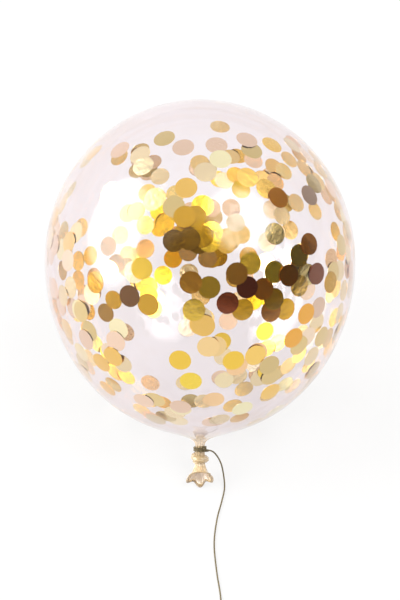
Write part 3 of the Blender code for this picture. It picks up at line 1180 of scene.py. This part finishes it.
    def shapes(self, discs: Discs) -> Array:
        """Points of every disc where it lies, in the row frame.

        Each disc is turned at random in its plane, leaned a little off the wall, domed towards the wall's
        curve and warped a little. It lies far enough in that its rim clears the wall, and the discs between
        it and the wall. Where the balloon is pressed flat, the discs are lifted with the skin.

        Args:
            discs: the discs.

        Returns:
            Discs by points by three.
        """
        count, azimuth = len(discs.latitude), discs.azimuth
        wall, outward = self.form.wall(discs.latitude, azimuth)
        spin = self.random.uniform(0.0, TURN, count)[:, None]
        lean = self.leans(wall)
        warp = self.held(self.warp, count)
        east = np.stack([-np.sin(azimuth), np.cos(azimuth), np.zeros(count)], -1)
        north = np.cross(outward, east)
        slope = lean[:, :1] * east + lean[:, 1:] * north
        tilted = unit(outward + slope)
        first = np.cos(spin) * east + np.sin(spin) * north
        first = unit(first - np.sum(first * tilted, axis=1, keepdims=True) * tilted)
        second = np.cross(tilted, first)
        sag = (1.0 - self.doming) * self.disc_radius**2 / (2.0 * self.form.radius)
        bulge = np.hypot(*warp.T) * self.disc_radius**2
        own = self.wall_gap + sag + bulge + self.disc_radius * np.hypot(*lean.T)
        inset, layer = self.insets(own, self.clearances(wall, slope, bulge))
        x, y, side = self.disc_template()[0].T
        dome = -self.doming * (x * x + y * y) / (2.0 * self.form.radius)
        bowed = dome + warp[:, :1] * (x * x - y * y) + warp[:, 1:] * (x * y)
        local = (wall - outward * inset[:, None])[:, None] + x[:, None] * first[:, None]
        local = local + y[:, None] * second[:, None] + bowed[..., None] * tilted[:, None]
        middle = self.rest.to_row(local)
        lowest = self.pressed_gap + self.layer_gap * layer[:, None]
        middle[..., 2] = lowest + lifted(middle[..., 2] - lowest, self.press_softness)
        return middle + self.rest.turned(tilted)[:, None] * side[:, None] * self.thickness

    def add_discs(self, name: str, points: Array, tint: Array) -> None:
        """Makes a piece of many discs.

        Args:
            name: the piece's name.
            points: discs by points by three, in the row frame.
            tint: each disc's linear colour.
        """
        count, size = points.shape[:2]
        _, faces = self.disc_template()
        starts = range(0, count * size, size)
        mesh = bpy.data.meshes.new(name)
        all_faces = [[v + start for v in face] for start in starts for face in faces]
        mesh.from_pydata(points.reshape(-1, 3).tolist(), [], all_faces)
        mesh.shade_smooth()
        mesh.set_sharp_from_angle(angle=self.sharp_angle)
        tints = np.repeat(np.column_stack([tint, np.ones(count)]), size, axis=0)
        self.add(name, mesh, tint=tints, crinkle=np.repeat(self.random.uniform(0.0, 1.0, count), size))

    def build(self) -> None:
        """Places all the discs, those next to the wall first, and makes a piece of each group."""
        groups = {
            "confetti_set": self.placed(),
            "confetti_clumps": Discs.joined([self.clumped(c) for c in self.clumps]),
            "confetti_scattered": self.scatter(),
        }
        points = self.shapes(Discs.joined(list(groups.values())))
        stops = np.cumsum([len(group.latitude) for group in groups.values()])[:-1]
        for (name, group), share in zip(groups.items(), np.split(points, stops)):
            self.add_discs(name, share, group.tint)


@dataclass
class BalloonString(Part):
    """The string: its tie round the neck, the stretch that shows, and the coil of its further length.

    A point of the route is its two offsets from the tie and its share of the tie's height.
    """

    slot: ClassVar[str] = "string"
    radius: float = 0.00075
    gap: float = 0.0003
    length: float = 1.0
    sides: int = 12
    strands: int = 3
    twist_pitch: float = 0.0045
    strand_relief: float = 0.13
    wraps: int = 3
    wrap_pitch: float = 1.02
    wrap_start: float = -0.4
    wrap_points: int = 260
    loose_turn: float = 0.35
    flare: float = 0.0042
    flare_share: float = 0.07
    knot_radius: float = 0.0021
    knot_angle: float = math.radians(-48)
    knot_scale: float = 0.00052
    knot_depth: float = 1.5
    knot_strand: float = 0.95
    knot_points: int = 120
    lead_in: float = 0.024
    lead_points: int = 28
    coil_radius: float = 0.0085
    coil_wide: int = 4
    coil_high: int = 4
    coil_step: float = 0.14
    coil_points: int = 40
    coil_starts: float = 0.30
    band_radius: float = 0.00028
    band_sides: int = 8
    band_points: int = 96
    band_power: float = 0.55
    band_shifts: tuple[float, ...] = (-0.0007, 0.0, 0.0007)
    band_side: tuple[float, float, float] = (0.8, -0.6, 0.0)
    route: tuple[tuple[float, float, float], ...] = (
        (0.0000, 0.000, 1.00), (0.0085, -0.002, 0.94), (0.0150, -0.006, 0.60), (0.0180, -0.012, 0.16),
        (0.0185, -0.022, 0.00), (0.0160, -0.036, 0.00), (0.0112, -0.058, 0.00), (0.0085, -0.085, 0.00),
        (0.0105, -0.115, 0.00), (0.0140, -0.145, 0.00), (0.0142, -0.176, 0.00),
    )

    @property
    def bed(self) -> float:
        """Height of the middle of a cord that lies on the surface."""
        return self.radius + self.gap

    @property
    def ring_radius(self) -> float:
        """Radius of the middle of the wraps round the neck."""
        return self.form.neck_radius + self.gap + self.radius

    def tie_place(self) -> Array:
        """Middle of the small knot on the wraps, in the row frame."""
        reach = self.ring_radius + self.knot_radius / 2
        return self.rest.to_row(polar(reach, self.knot_angle, self.form.tie_height))

    def shown_path(self) -> Array:
        """Carries a curve through the route.

        Returns:
            The points of the stretch that shows.
        """
        tie = self.tie_place()
        x, y, lift = np.array(self.route).T
        places = np.stack([tie[0] + x, tie[1] + y, self.bed + (tie[2] - self.bed) * lift], -1)
        path = curve_through(places)
        path[:, 2] = np.maximum(path[:, 2], self.bed)
        return path

    def coil_path(self, start: Array, run: Array, length: float) -> Array:
        """A neat layered coil.

        Each turn keeps its own radius but for its last part, the step, where it moves in or out by one
        pitch, or up to the next layer. Layers wind inwards and outwards by turns.

        Args:
            start: where the shown stretch would meet the ring.
            run: its direction there.
            length: the length to wind.

        Returns:
            The coil's points.
        """
        half = self.coil_wide * self.radius + self.gap
        middle = start + run * (self.coil_radius + half + self.gap)
        side = np.cross(run, UPWARD)
        reach = half - self.radius
        pitch = 2.0 * reach / (self.coil_wide - 1)
        rise = (2.0 * (self.coil_high - 1) * self.radius + self.gap) / (self.coil_high - 1)
        turns = self.coil_wide * self.coil_high
        progress = np.arange(turns * self.coil_points) / self.coil_points
        whole = np.floor(progress)
        step = smooth((progress - whole - 1.0 + self.coil_step) / self.coil_step)
        layer, slot = np.divmod(whole, self.coil_wide)
        inwards, last_slot = layer % 2 == 0, slot == self.coil_wide - 1
        level = np.where(inwards, slot, self.coil_wide - 1 - slot)
        level = level + np.where(last_slot, 0.0, np.where(inwards, step, -step))
        radius = (self.coil_radius + reach - pitch * level)[:, None]
        angle = TURN * progress[:, None]
        coil = middle + radius * (np.cos(angle) * side + np.sin(angle) * run)
        coil[:, 2] = self.bed + rise * (layer + np.where(last_slot, step, 0.0))
        fine = respaced(coil)
        return fine[lengths_along(fine) <= length]

    def whole_path(self) -> Array:
        """Joins the stretch that shows and the coil, and winds what length is left.

        The join is a cubic curve, which leads off from either end by a third of the gap.

        Returns:
            Points a millimetre apart along the whole string.
        """
        shown = self.shown_path()
        run = unit((shown[-1] - shown[-3]) * (1.0 - UPWARD))
        along = lengths_along(shown)
        kept = shown[along <= along[-1] - self.lead_in]
        first_coil = self.coil_path(shown[-1], run, self.length)[:1]
        pull = run * np.linalg.norm(first_coil - kept[-1]) / 3
        share = np.linspace(0.0, 1.0, self.lead_points + 2)[1:-1, None]
        blend = cubic([kept[-1], kept[-1] + pull, first_coil - pull, first_coil], share)
        open_path = np.concatenate([kept, blend])
        spent = lengths_along(np.concatenate([open_path, first_coil]))[-1]
        coil = self.coil_path(shown[-1], run, self.length - spent)
        return respaced(np.concatenate([open_path, coil]))

    def rope(self, name: str, path: Array, facing: Array) -> Mesh:
        """A twisted cord along a path: a lobe for each strand turns round the path once each pitch.

        Args:
            name: the mesh's name.
            path: the points that it follows.
            facing: a vector that the path never runs along.

        Returns:
            The mesh.
        """
        twists = lengths_along(path) / self.twist_pitch
        lobes = np.cos(self.strands * (even_angles(self.sides) - TURN * twists[:, None]))
        radius = self.radius * (1.0 + self.strand_relief * (lobes - 1.0) / 2)
        return ring_mesh(name, tube_rings(path, radius, facing, self.sides), path[[0, -1]], twists)

    def tie(self) -> list[Piece]:
        """The wraps round the neck with their loose end, and the small knot that holds them.

        The wraps are a helix that flares at its end. The knot is a trefoil: sine and cosine of one turn,
        with those of two turns at twice the size, and the sine of three turns for its depth.

        Returns:
            The pieces.
        """
        pitch = 2.0 * self.radius * self.wrap_pitch
        share = np.linspace(0.0, 1.0, self.wrap_points)
        angle = self.knot_angle + self.wrap_start + TURN * (self.wraps + self.loose_turn) * share
        height = self.form.tie_height + pitch * self.wraps * (0.5 - share)
        reach = self.ring_radius + self.flare * smooth(1.0 - (1.0 - share) / self.flare_share)
        facing = self.rest.turned(UPWARD)
        wraps = self.rope("string_wraps", self.rest.to_row(polar(reach, angle, height)), facing)
        t = even_angles(self.knot_points)
        x, y = np.sin(t) + 2 * np.sin(2 * t), np.cos(t) - 2 * np.cos(2 * t)
        lump = self.knot_scale * np.stack([x, y, -self.knot_depth * np.sin(3 * t)], -1)
        outward = self.rest.turned(polar(1.0, self.knot_angle, 0.0))
        loop = self.tie_place() + lump @ np.stack([np.cross(facing, outward), facing, outward])
        rings = closed_tube(loop, self.knot_strand * self.radius, outward, self.sides)
        pieces = {"string_wraps": wraps, "string_knot": ring_mesh("string_knot", rings)}
        return [self.add(name, mesh, "string_tie") for name, mesh in pieces.items()]

    def coil_bands(self, path: Array) -> list[Piece]:
        """Threads that hold the coil, side by side, each a rounded square round the bundle.

        The square's two offsets are the cosine and the sine of a turn, each to a power below one.

        Args:
            path: the string's whole path, whose end lies in the coil.

        Returns:
            The pieces.
        """
        bundle = path[lengths_along(path) > self.coil_starts]
        middle = (bundle.min(axis=0) + bundle.max(axis=0)) / 2 * (1.0 - UPWARD)
        outward = unit(np.array(self.band_side))
        tangent = np.cross(outward, UPWARD)
        wide = self.coil_wide * self.radius + 2 * self.band_radius
        half = (bundle[:, 2].max() + self.radius + self.band_radius - self.gap) / 2
        circle = polar(1.0, even_angles(self.band_points), 0.0)
        across, up, _ = (np.sign(circle) * np.abs(circle) ** self.band_power).T
        loop = middle + (self.coil_radius + wide * across)[:, None] * outward
        loop = loop + (half * (1.0 + up) + self.gap)[:, None] * UPWARD
        pieces = []
        for number, shift in enumerate(self.band_shifts, 1):
            rings = closed_tube(loop + shift * tangent, self.band_radius, tangent, self.band_sides)
            name = f"coil_band_{number}"
            pieces.append(self.add(name, ring_mesh(name, rings)))
        return pieces

    def build(self) -> None:
        path = self.whole_path()
        cord = self.add("string_cord", self.rope("string_cord", path, UPWARD), "string", "string_coil")
        tie, bands = self.tie(), self.coil_bands(path)


@dataclass(frozen=True)
class Softbox:
    """A soft bright or dark area of the surroundings.

    Its middle is given as the viewer's right, up and backward; its half sizes are tangents of angles.
    """

    towards: tuple[float, float, float]
    half_wide: float
    half_tall: float
    light: Colour
    edge: float
    uneven: float = 0.0


@dataclass
class Studio:
    """The pale floor, the soft surroundings and the camera."""

    rest: RestingFrame
    viewer: Viewer
    lens: float = 100.0
    floor_size: float = 60.0
    backdrop: Colour = (0.95, 0.95, 0.955)
    darkest: Colour = (0.04, 0.04, 0.04)
    least_facing: float = 0.02
    facing_blend: float = 0.1
    patch_scale: float = 7.0
    patch_steps: tuple[float, float] = (0.42, 0.60)
    boxes: tuple[Softbox, ...] = (
        Softbox((0.48, -0.01, 0.88), 1.55, 0.56, (-0.79, -0.815, -0.845), 0.5),
        Softbox((0.92, 0.24, 0.12), 0.85, 0.60, (-0.62, -0.63, -0.64), 0.6),
        Softbox((-0.87, 0.30, 0.35), 0.40, 0.56, (9.2, 9.2, 8.9), 0.40),
        Softbox((0.46, 0.45, 0.76), 0.40, 0.37, (10.2, 10.2, 9.9), 0.50, 0.45),
    )

    def build_camera(self) -> None:
        """Sets the camera square to the balloon's axis, at the viewer's side, crown up."""
        scene = bpy.context.scene
        _, ahead, up = (Vector(axis) for axis in self.rest.axes)
        data = bpy.data.cameras.new("camera")
        data.lens = self.lens
        camera = linked("camera", data)
        camera.location = Vector(self.rest.origin) - up * self.viewer.drop - ahead * self.viewer.distance
        camera.rotation_mode = "QUATERNION"
        camera.rotation_quaternion = ahead.to_track_quat("-Z", "Y")
        scene.camera = camera
        scene.view_settings.view_transform = "Standard"

    def build_floor(self) -> None:
        """Lays the floor under the balloon."""
        half = self.floor_size / 2
        mesh = bpy.data.meshes.new("floor")
        corners = [(-half, -half, 0.0), (half, -half, 0.0), (half, half, 0.0), (-half, half, 0.0)]
        mesh.from_pydata(corners, [], [(0, 1, 2, 3)])
        floor = linked("floor", mesh)
        mesh.materials.append(FloorFinish().make())

    def build_surroundings(self) -> None:
        """Fills the world: a pale backdrop, two soft windows and the darker room beside the viewer.

        A softbox covers the directions whose offsets from its middle, over its half sizes, square and add up
        to less than one. Its light is added to the backdrop's, fades over its edge, and is patchy where it
        is uneven.
        """
        world = bpy.data.worlds.new("surroundings")
        bpy.context.scene.world = world
        world.use_nodes = True
        graph = Graph(world.node_tree)
        direction = graph.place("Generated")
        right, ahead, up = self.rest.axes
        light = graph.node("CombineXYZ", dict(enumerate(self.backdrop)))
        for box in self.boxes:
            towards = unit(sum(s * a for s, a in zip(box.towards, (right, up, -ahead))))
            level = unit(np.cross(up, towards))
            facing = graph.vectors("DOT_PRODUCT", direction, towards)
            near = facing.at_least(self.least_facing)
            wide = graph.vectors("DOT_PRODUCT", direction, level) / (near * box.half_wide)
            tall = graph.vectors("DOT_PRODUCT", direction, np.cross(towards, level))
            tall = tall / (near * box.half_tall)
            share = (wide * wide + tall * tall).step(1.0 + box.edge, 1.0 - box.edge)
            patches = graph.noise(direction, self.patch_scale, detail=1.0).step(*self.patch_steps)
            share = share * facing.step(0.0, self.facing_blend) * (1.0 - box.uneven * patches)
            glow = graph.node("VectorMath", {0: box.light, "Scale": share}, operation="SCALE")
            light = graph.vectors("ADD", light, glow)
        light = graph.vectors("MAXIMUM", light, self.darkest)
        seen = graph.node("LightPath", {}, "Is Camera Ray")
        plain = graph.mixed(seen, light, WHITE[:3])
        shown = graph.node("Background", {"Color": plain, "Strength": 1.0})
        graph.node("OutputWorld", {"Surface": shown})


def main() -> None:
    """Builds the scene in order: camera and string first, then the rubber, the confetti and the studio."""
    logging.basicConfig(level=logging.INFO, format="%(message)s")
    form = BalloonForm()
    rest, viewer = RestingFrame.from_record(frame["record"], form), Viewer(form)
    studio = Studio(rest, viewer)
    studio.build_camera()
    BalloonString(form, rest, TwineFinish().make()).build()
    latex = LatexFinish().make()
    for part in (LatexSkin, LatexKnot, LatexTail):
        part(form, rest, latex).build()
    Confetti(form, rest, FoilFinish().make(), viewer).build()
    studio.build_floor()
    studio.build_surroundings()


if __name__ == "__main__":
    main()
